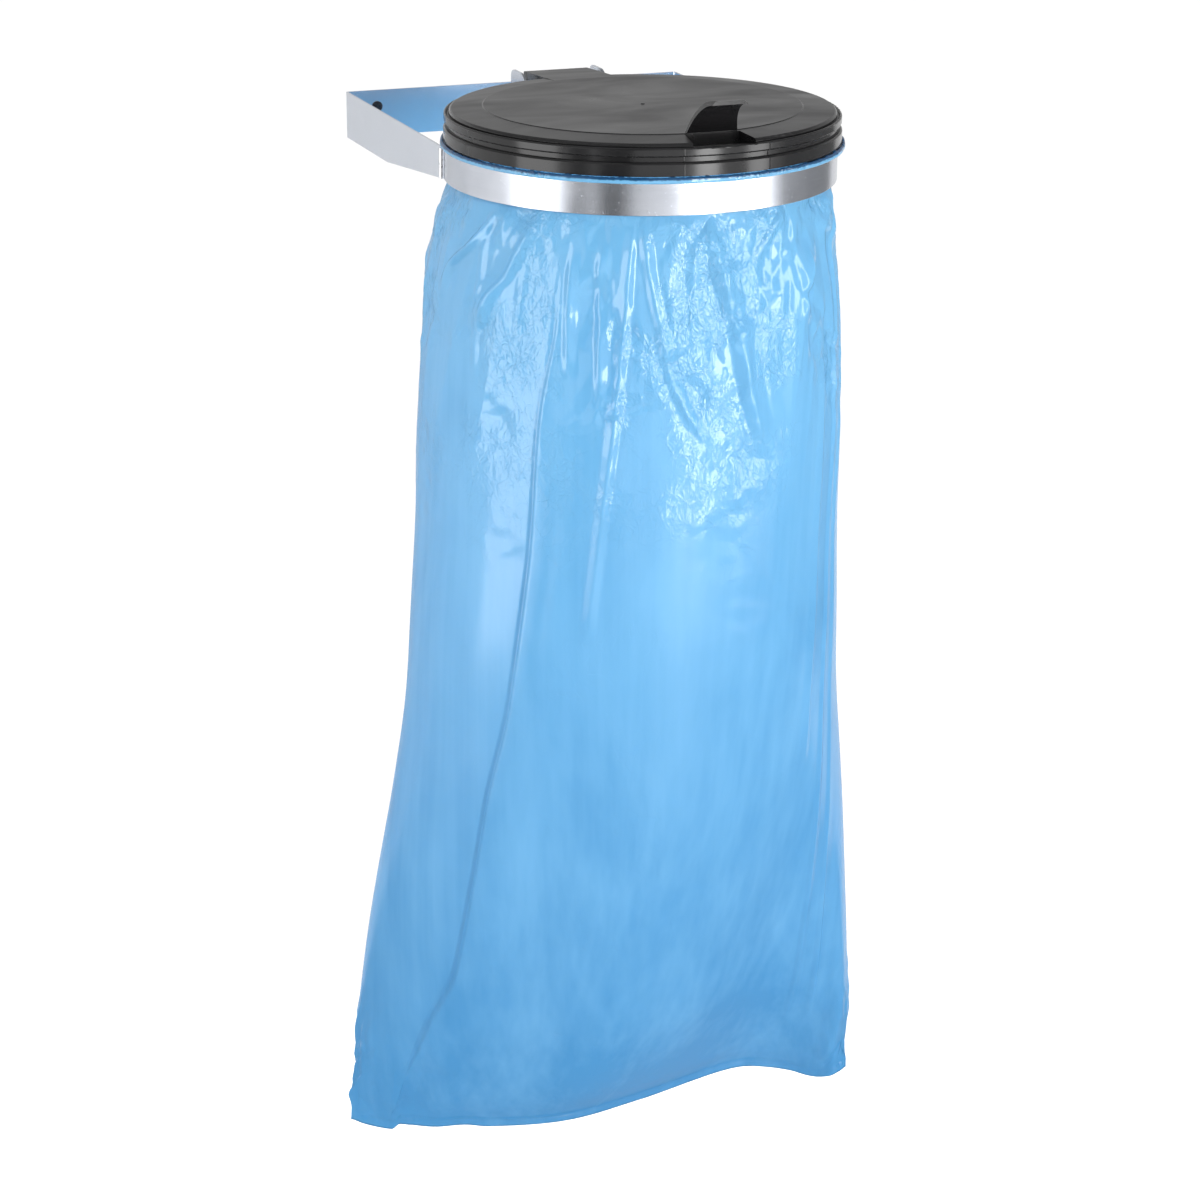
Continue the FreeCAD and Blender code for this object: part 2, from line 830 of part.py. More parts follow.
def make_spacer(name, side):
    """Bush on the pin between the lid's block and an ear."""
    body = new_body(name)
    section = new_sketch(body, "section", "XZ_Plane")
    length = d.ear_inner - d.block_half_width - d.side_play
    bore = d.pin_radius + d.pin_clearance / 2
    rectangle(section, bore, 0.0, d.spacer_radius, length)
    revolve(body, "bush", section)
    inward = FreeCAD.Rotation(vector(0, 1, 0), -90 * side)
    place(
        body, side * d.ear_inner, d.pin_behind - d.hoop_distance, band_foot + d.pin_level, inward
    )
    return body


# ---------------------------------------------------------------- welds


def make_weld(name, x, behind, radius, neighbours):
    """An upright weld bead in a corner against the hoop, shaped by what it fills."""
    rod = doc.addObject("Part::Cylinder", name + "_rod")
    rod.setExpression("Radius", expression(radius))
    rod.setExpression("Height", expression(d.band_height - 2 * d.weld_end_gap))
    place(rod, x, behind - d.hoop_distance, band_foot + d.weld_end_gap)
    cut = rod
    for i, neighbour in enumerate(neighbours):
        last = i == len(neighbours) - 1
        made = doc.addObject("Part::Cut", name if last else "%s_trim_%d" % (name, i))
        made.Base = cut
        made.Tool = neighbour
        cut = made
    cut.Label = name
    return cut


# ---------------------------------------------------------------- screws


def make_screw(name, side):
    """Pan-head wall screw with a cross recess."""
    body = new_body(name)
    section = new_sketch(body, "section", "XZ_Plane")
    point = d.screw_radius * 2
    outline(
        section,
        [
            (0.0, d.screw_head_height),
            (0.0, -d.screw_length),
            (d.screw_radius, point - d.screw_length),
            (d.screw_radius, -d.sheet_thickness),
            (d.screw_neck_radius, -d.sheet_thickness),
            (d.screw_neck_radius, 0.0),
            (d.screw_head_radius, 0.0),
            (d.screw_head_radius, d.screw_head_edge),
        ],
        arcs={7: -d.screw_head_crown},
    )
    revolve(body, "turned", section)
    cross = new_sketch(body, "recess", "XY_Plane", d.screw_head_height - d.recess_depth)
    arm, half = d.recess_length / 2, d.recess_width / 2
    outline(
        cross,
        [
            (arm, -half),
            (arm, half),
            (half, half),
            (half, arm),
            (-half, arm),
            (-half, half),
            (-arm, half),
            (-arm, -half),
            (-half, -half),
            (-half, -arm),
            (half, -arm),
            (half, -half),
        ],
    )
    pocket(
        body, "recess_cut", cross, d.recess_depth + PAST, symmetric=False, backwards=True
    )
    out_of_wall = FreeCAD.Rotation(vector(1, 0, 0), 90)
    place(body, d.screw_spacing * (side / 2), -d.sheet_thickness, 0.0, out_of_wall)
    return body


# ---------------------------------------------------------------- bag


def bag_ring(name, level, half_width, half_depth, x=0.0, y=0.0, turn=0.0):
    """One horizontal section of the bag."""
    ring = doc.addObject("Part::Ellipse", name)
    ring.MajorRadius = number(half_width)
    ring.MinorRadius = number(half_depth)
    ring.setExpression("MajorRadius", expression(half_width))
    ring.setExpression("MinorRadius", expression(half_depth))
    about_z = FreeCAD.Rotation(vector(0, 0, 1), number(turn))
    place(ring, x, y - d.hoop_distance, band_foot + level, about_z)
    return ring


def bag_loft(name, inset, top, bottom):
    """Straight-sided loft through the bag's sections, inset by a wall."""
    neck = d.clamp_radius + d.film_gap + d.film_wall - inset
    forward = -d.ring_forward
    rings = [
        bag_ring(name + "_rim", top, neck, neck, 0.0, forward),
        bag_ring(name + "_neck", d.neck_level, neck, neck, 0.0, forward),
    ]
    # level, half width, half depth, and the shares of the foot's shift and turn at that level
    sections = {
        "_chest": (d.chest_level, d.chest_half, d.chest_half, 0.1, 0.0),
        "_waist": (d.waist_level, d.waist_half_width, d.waist_half_depth, 0.3, 0.4),
        "_hip": (d.hip_level, d.hip_half_width, d.hip_half_depth, 0.6, 0.7),
        "_seam": (bottom, d.seam_half_width, d.seam_half_depth, 1.0, 1.0),
    }
    for end, (level, half_width, half_depth, shift, turn) in sections.items():
        rings.append(
            bag_ring(
                name + end,
                level,
                half_width - inset,
                half_depth - inset,
                d.foot_shift * shift,
                0.0,
                d.seam_turn * turn,
            )
        )
    skin = doc.addObject("Part::Loft", name)
    skin.Sections = rings
    skin.Solid = True
    skin.Ruled = True
    return skin


def make_bag():
    """Film sack, open at the top inside the hoop and closed by its bottom seam."""
    top = d.flange_level - d.film_top_drop
    outside = bag_loft("bag_outside", 0.0, top, d.seam_level)
    inside = bag_loft("bag_inside", d.film_wall, top + PAST, d.seam_level + d.seam_height)
    bag = doc.addObject("Part::Cut", "refuse_bag")
    bag.Base = outside
    bag.Tool = inside
    bag.Label = "refuse_bag"
    return bag


# ---------------------------------------------------------------- the whole holder


def make_holder():
    bracket = make_wall_bracket()
    hoop = make_hoop_band()
    saddle = make_hinge_bracket()
    arm_x = d.bracket_width / 2 + d.arm_weld_out
    arm_y = d.arm_end_behind - d.arm_weld_forward
    ear_x = d.ear_inner + d.sheet_thickness + d.hinge_weld_out
    ear_y = d.hoop_radius - d.hinge_weld_inset
    pieces = [bracket, hoop, saddle, make_clamp_ring(), make_lid(), make_hinge_pin(), make_bag()]
    for side_name, side in (("left", -1.0), ("right", 1.0)):
        pieces.append(
            make_weld("arm_weld_" + side_name, side * arm_x, arm_y, d.weld_radius, [bracket, hoop])
        )
        pieces.append(
            make_weld(
                "hinge_weld_" + side_name,
                side * ear_x,
                ear_y,
                d.hinge_weld_radius,
                [saddle, hoop],
            )
        )
        pieces.append(make_pin_cap("pin_cap_" + side_name, side))
        pieces.append(make_spacer("hinge_spacer_" + side_name, side))
        pieces.append(make_screw("wall_screw_" + side_name, side))
    return pieces


def check(pieces):
    """Stops if any object failed, or if a piece isn't sound."""
    for item in doc.Objects:
        if "Invalid" in item.State or "Error" in item.State:
            raise RuntimeError(item.Name + " failed: " + ", ".join(item.State))
    for piece in pieces:
        if piece.Shape.isNull() or not piece.Shape.isValid():
            raise RuntimeError(piece.Label + " has no sound shape")
        if len(piece.Shape.Solids) != 1:
            raise RuntimeError("%s has %d solids" % (piece.Label, len(piece.Shape.Solids)))


pieces = make_holder()
doc.recompute()
check(pieces)
os.makedirs("parts", exist_ok=True)
for piece in pieces:
    piece.Shape.exportStep("parts/" + piece.Label + ".step")
    box = piece.Shape.BoundBox
    print(
        "%-20s volume %10.0f  x %7.1f %7.1f  y %7.1f %7.1f  z %7.1f %7.1f"
        % (piece.Label, piece.Shape.Volume, box.XMin, box.XMax, box.YMin, box.YMax, box.ZMin, box.ZMax)
    )
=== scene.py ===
import math

import bmesh
import bpy
import numpy as np
from mathutils import Matrix, Vector


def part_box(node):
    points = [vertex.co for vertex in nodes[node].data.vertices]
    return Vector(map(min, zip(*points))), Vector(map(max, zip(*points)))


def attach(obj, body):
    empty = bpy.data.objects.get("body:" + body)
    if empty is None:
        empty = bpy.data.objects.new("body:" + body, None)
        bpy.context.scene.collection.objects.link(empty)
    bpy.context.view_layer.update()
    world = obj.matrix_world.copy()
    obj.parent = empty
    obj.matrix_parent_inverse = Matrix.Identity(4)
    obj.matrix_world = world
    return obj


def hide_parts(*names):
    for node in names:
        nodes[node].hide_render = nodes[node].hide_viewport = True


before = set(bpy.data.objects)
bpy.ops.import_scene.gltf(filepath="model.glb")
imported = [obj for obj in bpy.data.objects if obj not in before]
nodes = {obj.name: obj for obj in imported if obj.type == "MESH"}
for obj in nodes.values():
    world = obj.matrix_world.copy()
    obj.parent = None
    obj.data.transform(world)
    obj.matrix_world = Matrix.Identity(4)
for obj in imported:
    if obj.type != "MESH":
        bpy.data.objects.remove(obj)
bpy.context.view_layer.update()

# Everything is in metres in the frame of the CAD part: the wall is the plane Y = 0, the holder
# stands out towards -Y, +Z is up and the origin is midway between the two wall screws.

scene = bpy.context.scene
scene.view_settings.view_transform = "Standard"
scene.view_settings.look = "None"


def mm(value):
    return value / 1000.0


# ---------------------------------------------------------------- sizes read from the CAD part

band_low, band_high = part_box("hoop_band")
hoop_centre = Vector(((band_low.x + band_high.x) / 2, (band_low.y + band_high.y) / 2, 0.0))
band_bottom = band_low.z
band_top = band_high.z
ring_low, ring_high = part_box("bag_clamp_ring")
ring_centre = Vector(((ring_low.x + ring_high.x) / 2, (ring_low.y + ring_high.y) / 2, 0.0))
lid_low, lid_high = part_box("lid")
lid_radius = (lid_high.x - lid_low.x) / 2


# ---------------------------------------------------------------- node helpers


def new_material(name):
    """An empty node material with its output; returns the material, its tree and its output."""
    material = bpy.data.materials.new(name)
    material.use_nodes = True
    tree = material.node_tree
    tree.nodes.clear()
    return material, tree, tree.nodes.new("ShaderNodeOutputMaterial")


def node(tree, kind, inputs=None, **settings):
    """One shader node. Inputs are numbers, colours or sockets to link from."""
    made = tree.nodes.new(kind)
    for key, value in settings.items():
        setattr(made, key, value)
    for key, value in (inputs or {}).items():
        if isinstance(value, bpy.types.NodeSocket):
            tree.links.new(value, made.inputs[key])
        else:
            made.inputs[key].default_value = value
    return made


def position(tree, scale=(1.0, 1.0, 1.0)):
    """The point on the object, stretched by scale."""
    here = node(tree, "ShaderNodeTexCoord").outputs["Object"]
    return node(tree, "ShaderNodeMapping", {"Vector": here, "Scale": scale}).outputs[0]


def noise_value(tree, where, scale, detail=3.0, roughness=0.5, distortion=0.0):
    return node(
        tree,
        "ShaderNodeTexNoise",
        {
            "Vector": where,
            "Scale": scale,
            "Detail": detail,
            "Roughness": roughness,
            "Distortion": distortion,
        },
    ).outputs[0]


def spread(tree, value, low, high, to_low, to_high):
    """Maps value from low..high to to_low..to_high, clamped."""
    return node(
        tree,
        "ShaderNodeMapRange",
        {
            "Value": value,
            "From Min": low,
            "From Max": high,
            "To Min": to_low,
            "To Max": to_high,
        },
    ).outputs[0]


def maths(tree, operation, first, second=0.0):
    return node(tree, "ShaderNodeMath", {0: first, 1: second}, operation=operation).outputs[0]


def shares(tree, first, first_share, second, second_share):
    """The sum of a share of each of two values."""
    first = maths(tree, "MULTIPLY", first, first_share)
    return maths(tree, "ADD", first, maths(tree, "MULTIPLY", second, second_share))


def ramp(tree, value, stops):
    """A colour ramp; stops are (place, colour) pairs."""
    made = node(tree, "ShaderNodeValToRGB", {"Fac": value})
    band = made.color_ramp
    while len(band.elements) > 1:
        band.elements.remove(band.elements[-1])
    band.elements[0].position = stops[0][0]
    band.elements[0].color = (*stops[0][1], 1.0)
    for place, colour in stops[1:]:
        band.elements.new(place).color = (*colour, 1.0)
    return made.outputs[0]


def noise_colour(tree, where, scale):
    """Three unrelated noises, as the parts of a colour."""
    return node(tree, "ShaderNodeTexNoise", {"Vector": where, "Scale": scale}).outputs["Color"]


def nudged(tree, where, push, amount):
    """The place moved about by a colour, so that a pattern on it bends."""
    scaled = node(tree, "ShaderNodeVectorMath", {0: push, "Scale": amount}, operation="SCALE")
    moved = node(tree, "ShaderNodeVectorMath", {0: where, 1: scaled.outputs[0]}, operation="ADD")
    return moved.outputs[0]


def bump(tree, height, strength, distance, below=None):
    inputs = {"Height": height, "Strength": strength, "Distance": distance}
    if below is not None:
        inputs["Normal"] = below
    return node(tree, "ShaderNodeBump", inputs).outputs[0]


# ---------------------------------------------------------------- materials


SPANGLE = mm(6.0)  # width of the crystals in the zinc


def galvanised(name, dark, light, rough_low, rough_high):
    """Zinc coated sheet: faint crystal spangle, cloudy patches and a few darker specks."""
    material, tree, output = new_material(name)
    where = position(tree)
    crystals = node(
        tree, "ShaderNodeTexVoronoi", {"Vector": where, "Scale": 1.0 / SPANGLE, "Randomness": 1.0}
    ).outputs["Color"]
    crystal = node(tree, "ShaderNodeSeparateColor", {0: crystals}).outputs[0]
    cloud = noise_value(tree, where, 22.0, 4.0)
    mixed = shares(tree, crystal, 0.3, cloud, 0.7)
    specks = spread(tree, noise_value(tree, where, 520.0, 2.0), 0.70, 0.76, 0.0, 1.0)
    shade = maths(tree, "SUBTRACT", mixed, maths(tree, "MULTIPLY", specks, 0.5))
    colour = ramp(tree, shade, [(0.15, dark), (0.75, light)])
    rough = spread(tree, mixed, 0.2, 0.8, rough_high, rough_low)
    grain = noise_value(tree, where, 900.0, 2.0)
    dents = bump(tree, noise_value(tree, where, 14.0, 2.0), 0.05, 0.004)
    shader = node(
        tree,
        "ShaderNodeBsdfPrincipled",
        {
            "Base Color": colour,
            "Roughness": rough,
            "Metallic": 1.0,
            "Normal": bump(tree, grain, 0.03, 0.0004, dents),
        },
    )
    tree.links.new(shader.outputs[0], output.inputs[0])
    return material


def rolled_strip(name):
    """Bright zinc strip, brushed along its length by the rolls."""
    material, tree, output = new_material(name)
    where = position(tree)
    streaks = noise_value(tree, position(tree, (6.0, 6.0, 900.0)), 1.0, 4.0, 0.6)
    cloud = noise_value(tree, where, 30.0, 4.0)
    specks = spread(tree, noise_value(tree, where, 430.0, 2.0), 0.69, 0.74, 0.0, 1.0)
    shade = shares(tree, streaks, 0.5, cloud, 0.5)
    colour = ramp(tree, shade, [(0.25, (0.50, 0.525, 0.58)), (0.75, (0.64, 0.665, 0.72))])
    satin = spread(tree, cloud, 0.3, 0.7, 0.23, 0.27)
    rough = maths(tree, "ADD", satin, maths(tree, "MULTIPLY", specks, 0.02))
    shader = node(
        tree,
        "ShaderNodeBsdfPrincipled",
        {
            "Base Color": colour,
            "Roughness": rough,
            "Metallic": 1.0,
            "Normal": bump(tree, streaks, 0.08, 0.0004, bump(tree, specks, 0.25, 0.0004)),
        },
    )
    tree.links.new(shader.outputs[0], output.inputs[0])
    return material


# Fine upright lines on the lid's rim: bearings from the lid's middle in degrees, their width and
# how far above the hoop's top edge they reach.
MOULD_LINES = (-100.2, -74.1)
MOULD_LINE_WIDTH = mm(0.8)
MOULD_LINE_TOP = band_top + mm(35.0)


def moulded_plastic(name):
    """Black polypropylene: satin and cloudy where flat and level, glossier on the steep rim."""
    material, tree, output = new_material(name)
    where = position(tree)
    facing = node(tree, "ShaderNodeNewGeometry").outputs["Normal"]
    upward = node(tree, "ShaderNodeSeparateXYZ", {0: facing}).outputs[2]
    level = spread(tree, upward, 0.80, 0.985, 0.0, 1.0)
    cloud = noise_value(tree, position(tree, (1.0, 2.2, 1.0)), 7.0, 5.0, 0.55, 0.6)
    grain = bump(tree, noise_value(tree, where, 1400.0, 2.0), 0.05, 0.0003)
    satin = spread(tree, cloud, 0.3, 0.7, 0.26, 0.42)
    gloss = spread(tree, cloud, 0.3, 0.7, 0.13, 0.20)
    rough = node(
        tree, "ShaderNodeMix", {"Factor": level, "A": gloss, "B": satin}, data_type="FLOAT"
    ).outputs[0]
    colour = ramp(tree, cloud, [(0.3, (0.009, 0.009, 0.0095)), (0.75, (0.017, 0.017, 0.018))])
    place = node(tree, "ShaderNodeSeparateXYZ", {0: where})
    forward = maths(tree, "SUBTRACT", place.outputs[1], ring_centre.y)
    bearing = maths(tree, "ARCTAN2", forward, place.outputs[0])
    lines = []
    for turn in MOULD_LINES:
        away = maths(tree, "ABSOLUTE", maths(tree, "SUBTRACT", bearing, math.radians(turn)))
        lines.append(spread(tree, away, 0.0, MOULD_LINE_WIDTH / lid_radius, 1.0, 0.0))
    seams = maths(tree, "MAXIMUM", *lines)
    on_rim = maths(tree, "LESS_THAN", place.outputs[2], MOULD_LINE_TOP)
    seams = maths(tree, "MULTIPLY", seams, on_rim)
    shader = node(
        tree,
        "ShaderNodeBsdfPrincipled",
        {
            "Base Color": colour,
            "Roughness": rough,
            "Specular IOR Level": 0.42,
            "Normal": bump(tree, seams, 1.0, 0.0004, bump(tree, cloud, 0.06, 0.004, grain)),
        },
    )
    tree.links.new(shader.outputs[0], output.inputs[0])
    return material


def machined_steel(name, dark, light, rough):
    """Turned or cast steel with fine rings and small stains."""
    material, tree, output = new_material(name)
    where = position(tree)
    stain = noise_value(tree, where, 240.0, 4.0)
    grain = noise_value(tree, where, 2200.0, 2.0)
    shader = node(
        tree,
        "ShaderNodeBsdfPrincipled",
        {
            "Base Color": ramp(tree, stain, [(0.3, dark), (0.7, light)]),
            "Roughness": spread(tree, stain, 0.3, 0.7, rough, rough + 0.15),
            "Metallic": 1.0,
            "Normal": bump(tree, grain, 0.15, 0.0003, bump(tree, stain, 0.2, 0.0008)),
        },
    )
    tree.links.new(shader.outputs[0], output.inputs[0])
    return material


def plain_nylon(name):
    """Black nylon, dull and slightly uneven."""
    material, tree, output = new_material(name)
    where = position(tree)
    cloud = noise_value(tree, where, 160.0, 3.0)
    colour = ramp(tree, cloud, [(0.3, (0.05, 0.05, 0.055)), (0.7, (0.08, 0.08, 0.085))])
    shader = node(
        tree,
        "ShaderNodeBsdfPrincipled",
        {
            "Base Color": colour,
            "Roughness": spread(tree, cloud, 0.3, 0.7, 0.35, 0.5),
            "Normal": bump(tree, cloud, 0.1, 0.0005),
        },
    )
    tree.links.new(shader.outputs[0], output.inputs[0])
    return material


# Where the film's rolled edge just under the lid is painted near black blue, as painted shade and a
# painted reflection of the lid's black rim above it, and how ragged its start is.
PAINTED_SHADE_START = band_top + mm(5.6)
PAINTED_SHADE_FULL = band_top + mm(6.8)
PAINTED_SHADE_RAGGED = mm(3.0)


def film(name):
    """Thin blue polyethylene: a glossy tinted skin that lets light through."""
    material, tree, output = new_material(name)
    where = position(tree)
    cloud = noise_value(tree, position(tree, (1.0, 1.0, 0.35)), 9.0, 4.0, 0.55, 0.5)
    streaks = noise_value(tree, position(tree, (70.0, 70.0, 2.0)), 1.0, 3.0)
    shade = shares(tree, cloud, 0.6, streaks, 0.2)
    height = node(tree, "ShaderNodeSeparateXYZ", {0: where}).outputs[2]
    # Painted light and shade: the film's colour is made lighter towards the top and darker towards
    # the foot.
    shade = maths(tree, "ADD", shade, spread(tree, height, -1.05, -0.05, -0.12, 0.42))
    tint = ramp(tree, shade, [(0.25, (0.058, 0.285, 0.545)), (0.75, (0.18, 0.48, 0.75))])
    # Painted shade: the film's rolled edge under the lid turns near black blue, standing in for the
    # lid's shadow and the dark rim reflected in it.
    ragged = noise_value(tree, where, 260.0, 3.0)
    rim = maths(tree, "ADD", height, maths(tree, "MULTIPLY", ragged, PAINTED_SHADE_RAGGED))
    painted_shade_mask = spread(tree, rim, PAINTED_SHADE_START, PAINTED_SHADE_FULL, 0.0, 1.0)
    film_with_painted_shade = node(
        tree,
        "ShaderNodeMix",
        {"Factor": painted_shade_mask, "A": tint, "B": (0.006, 0.05, 0.13, 1.0)},
        data_type="RGBA",
    )
    top = spread(tree, height, -0.38, -0.08, 0.0, 1.0)
    patch = spread(tree, noise_value(tree, where, 13.0, 2.0), 0.42, 0.60, 0.0, 1.0)
    fading = maths(tree, "ADD", maths(tree, "MULTIPLY", top, 0.95), 0.05)
    crinkled = maths(tree, "MULTIPLY", patch, fading)
    squat = position(tree, (1.0, 1.0, 0.7))
    bent = nudged(tree, squat, noise_colour(tree, where, 24.0), 0.02)
    faces = shares(tree, flat_faces(tree, bent, 48.0), 0.20, flat_faces(tree, bent, 120.0), 0.24)
    folds = node(
        tree,
        "ShaderNodeTexVoronoi",
        {"Vector": bent, "Scale": 58.0, "Detail": 2.0, "Roughness": 0.7},
        feature="DISTANCE_TO_EDGE",
    ).outputs["Distance"]
    sharp = maths(tree, "MULTIPLY", spread(tree, folds, 0.0, 0.12, 0.0009, 0.0), crinkled)
    swell = bump(tree, noise_value(tree, where, 16.0, 3.0), 0.06, 0.004)
    crinkles = maths(tree, "ADD", maths(tree, "MULTIPLY", faces, crinkled), sharp)
    relief = bump(tree, crinkles, 1.0, 1.0, swell)
    satin = spread(tree, height, -0.60, -0.15, 0.24, 0.11)
    skin = node(
        tree,
        "ShaderNodeBsdfPrincipled",
        {
            "Base Color": film_with_painted_shade.outputs["Result"],
            "Roughness": maths(tree, "ADD", satin, spread(tree, cloud, 0.3, 0.7, -0.02, 0.03)),
            "Specular IOR Level": 1.0,
            "Normal": relief,
        },
    )
    glow = node(tree, "ShaderNodeBsdfTranslucent", {"Color": tint, "Normal": relief})
    both = node(tree, "ShaderNodeMixShader", {0: 0.3, 1: skin.outputs[0], 2: glow.outputs[0]})
    tree.links.new(both.outputs[0], output.inputs[0])
    return material


def flat_faces(tree, where, scale):
    """Height of small flat faces, each tilted its own way, that meet in sharp edges."""
    cells = node(tree, "ShaderNodeTexVoronoi", {"Vector": where, "Scale": scale})
    tilt = node(
        tree,
        "ShaderNodeVectorMath",
        {0: cells.outputs["Color"], 1: (0.5, 0.5, 0.5)},
        operation="SUBTRACT",
    ).outputs[0]
    away = node(
        tree,
        "ShaderNodeVectorMath",
        {0: where, 1: cells.outputs["Position"]},
        operation="SUBTRACT",
    ).outputs[0]
    return node(
        tree, "ShaderNodeVectorMath", {0: tilt, 1: away}, operation="DOT_PRODUCT"
    ).outputs["Value"]


def floor_finish(name):
    """Plain pale floor, barely clouded."""
    material, tree, output = new_material(name)
    cloud = noise_value(tree, position(tree), 0.6, 2.0)
    shader = node(
        tree,
        "ShaderNodeBsdfPrincipled",
        {
            "Base Color": ramp(tree, cloud, [(0.3, (0.93, 0.93, 0.93)), (0.7, (0.95, 0.95, 0.95))]),
            "Roughness": 0.8,
            "Specular IOR Level": 0.1,
        },
    )
    tree.links.new(shader.outputs[0], output.inputs[0])
    return material


sheet_zinc = galvanised("galvanised_sheet", (0.69, 0.72, 0.78), (0.74, 0.77, 0.83), 0.23, 0.26)
strip_zinc = rolled_strip("galvanised_strip")
ring_zinc = galvanised("ring_steel", (0.55, 0.56, 0.60), (0.75, 0.76, 0.80), 0.25, 0.4)
weld_metal = machined_steel("weld_metal", (0.55, 0.56, 0.58), (0.85, 0.86, 0.88), 0.25)
pin_steel = machined_steel("pin_steel", (0.45, 0.46, 0.48), (0.66, 0.67, 0.70), 0.25)
screw_steel = machined_steel("screw_steel", (0.03, 0.035, 0.045), (0.10, 0.11, 0.13), 0.28)
nylon = plain_nylon("nylon")
black_plastic = moulded_plastic("lid_plastic")
blue_film = film("bag_film")

finishes = {
    "wall_bracket": sheet_zinc,
    "hinge_bracket": sheet_zinc,
    "hoop_band": strip_zinc,
    "bag_clamp_ring": ring_zinc,
    "lid": black_plastic,
    "hinge_pin": pin_steel,
}
for side in ("left", "right"):
    finishes["arm_weld_" + side] = weld_metal
    finishes["hinge_weld_" + side] = weld_metal
    finishes["pin_cap_" + side] = pin_steel
    finishes["hinge_spacer_" + side] = nylon
    finishes["wall_screw_" + side] = screw_steel
for name, finish in finishes.items():
    mesh = nodes[name].data
    mesh.materials.clear()
    mesh.materials.append(finish)


# ---------------------------------------------------------------- the film bag

# The bag is a flat tube of film, closed by a straight weld at its foot. Each horizontal
# section is a middle line with a front and a back half, which spread to a circle in the hoop
# and lie together in a wavy line at the foot. Pleats, creases and crumpled patches then move
# the film in and out. Angles are in degrees to the right of FRONT, seen from outside, and
# depths in millimetres below the hoop's lower edge.

FRONT = -111.8
# Half width, half depth, middle x and middle y as (depth, millimetres) points.
HALF_WIDTH = [(-12, 190.8), (-4, 191.5), (7, 194.5), (28, 200), (70, 206.5), (135, 214), (240, 220)]
HALF_WIDTH += [(350, 223), (460, 230), (550, 235), (640, 245), (735, 256), (830, 266), (930, 275)]
HALF_WIDTH += [(1055, 283)]
HALF_DEPTH = [(-12, 190.8), (-4, 191.5), (7, 194.5), (28, 200.5), (70, 208), (135, 213), (240, 213)]
HALF_DEPTH += [(350, 208), (460, 200), (550, 190), (640, 176), (735, 156), (830, 128), (930, 88)]
HALF_DEPTH += [(1041, 7), (1046, 0.7), (1050, 1.6), (1055, 0.0)]
MIDDLE_X = [(-12, 0), (0, -2), (28, -6), (135, -8), (350, -11), (640, -15), (830, -22), (1055, -24)]
MIDDLE_Y = [(-12, -6), (0, -6), (70, 0), (1055, 0)]
# The foot's wave towards the wall and the lowering of its edge, from left (-1) to right (1).
FOOT_WAVE = [(-1.0, 70), (-0.87, 45), (-0.52, 12), (-0.2, -12), (0.13, 8), (0.40, 30), (0.60, 38)]
FOOT_WAVE += [(0.74, 26), (0.86, 6), (0.95, -12), (1.0, -12)]
FOOT_EDGE = [(-1.0, -4), (-0.93, 2), (-0.86, 5), (-0.83, -2), (-0.7, 1), (-0.6, 0), (-0.5, 3)]
FOOT_EDGE += [(-0.2, 0), (0.3, 2), (0.6, -1), (0.8, 3), (0.88, 8), (0.93, 4), (1.0, -6)]
# The film over the clamp ring, from its rolled outer edge inwards and down: (radius, level above
# the hoop's lower edge) points.
WRAP = [(202.0, 39.2), (202.9, 39.4), (203.8, 39.1), (204.4, 38.3), (204.7, 37.2), (204.8, 36.0)]
WRAP += [(204.8, 34.6), (204.3, 33.5), (202.9, 33.0), (198.0, 33.0), (192.6, 32.8), (191.1, 31.0)]
WRAP += [(190.9, 26.0), (190.9, 19.0)]
WALL_DEPTH = -12.0
WELD_DEPTH = 1046.0
FOOT_DEPTH = 1055.0
WELD_ROWS = [1041.0, 1043.5, WELD_DEPTH, 1048.0, 1050.0, 1052.5, FOOT_DEPTH]
AROUND = 800  # points round the bag
CORNER_FOLD = 7.0


def ease(value, start, end):
    """0 up to start, 1 from end on, and a smooth step between them."""
    t = np.clip((value - start) / (end - start), 0.0, 1.0)
    return t * t * (3.0 - 2.0 * t)


def through(points, x):
    """A smooth curve through (x, y) points, by cubic pieces with limited slopes."""
    xs = np.array([p[0] for p in points], float)
    ys = np.array([p[1] for p in points], float)
    slopes = np.diff(ys) / np.diff(xs)
    tangents = np.concatenate([[slopes[0]], (slopes[1:] + slopes[:-1]) / 2, [slopes[-1]]])
    turns = np.concatenate([[False], slopes[1:] * slopes[:-1] <= 0, [False]])
    tangents[turns] = 0.0
    i = np.clip(np.searchsorted(xs, x) - 1, 0, len(xs) - 2)
    h = xs[i + 1] - xs[i]
    t = (x - xs[i]) / h
    start = (1 + 2 * t) * (1 - t) ** 2 * ys[i] + t * (1 - t) ** 2 * h * tangents[i]
    return start + t * t * (3 - 2 * t) * ys[i + 1] + t * t * (t - 1) * h * tangents[i + 1]


def turned(angle):
    """The angle brought between -180 and 180 degrees."""
    return (angle + 180.0) % 360.0 - 180.0


def scatter(i, j, seed):
    """A repeatable random number from 0 to 1 for each cell."""
    value = np.sin(i * 127.1 + j * 311.7 + seed * 74.7) * 43758.5453
    return value - np.floor(value)


def facets(across, down, cell, stretch, columns, seed):
    """Rounded humps from 0 to 1 that meet in sharp notches.

    The height is the gap between the nearest and the next nearest of scattered points, on a strip
    that closes on itself after the given number of columns.
    """
    u = across / cell
    v = down / (cell * stretch)
    near = np.full(u.shape, 9.0)
    next_near = np.full(u.shape, 9.0)
    for di in (-1, 0, 1):
        for dj in (-1, 0, 1):
            i = np.floor(u) + di
            j = np.floor(v) + dj
            wrapped = np.mod(i, columns)
            px = i + 0.1 + 0.8 * scatter(wrapped, j, seed)
            py = j + 0.1 + 0.8 * scatter(wrapped, j, seed + 3.0)
            far = np.hypot(u - px, v - py)
            next_near = np.minimum(next_near, np.maximum(near, far))
            near = np.minimum(near, far)
    return np.clip(next_near - near, 0.0, 1.0)


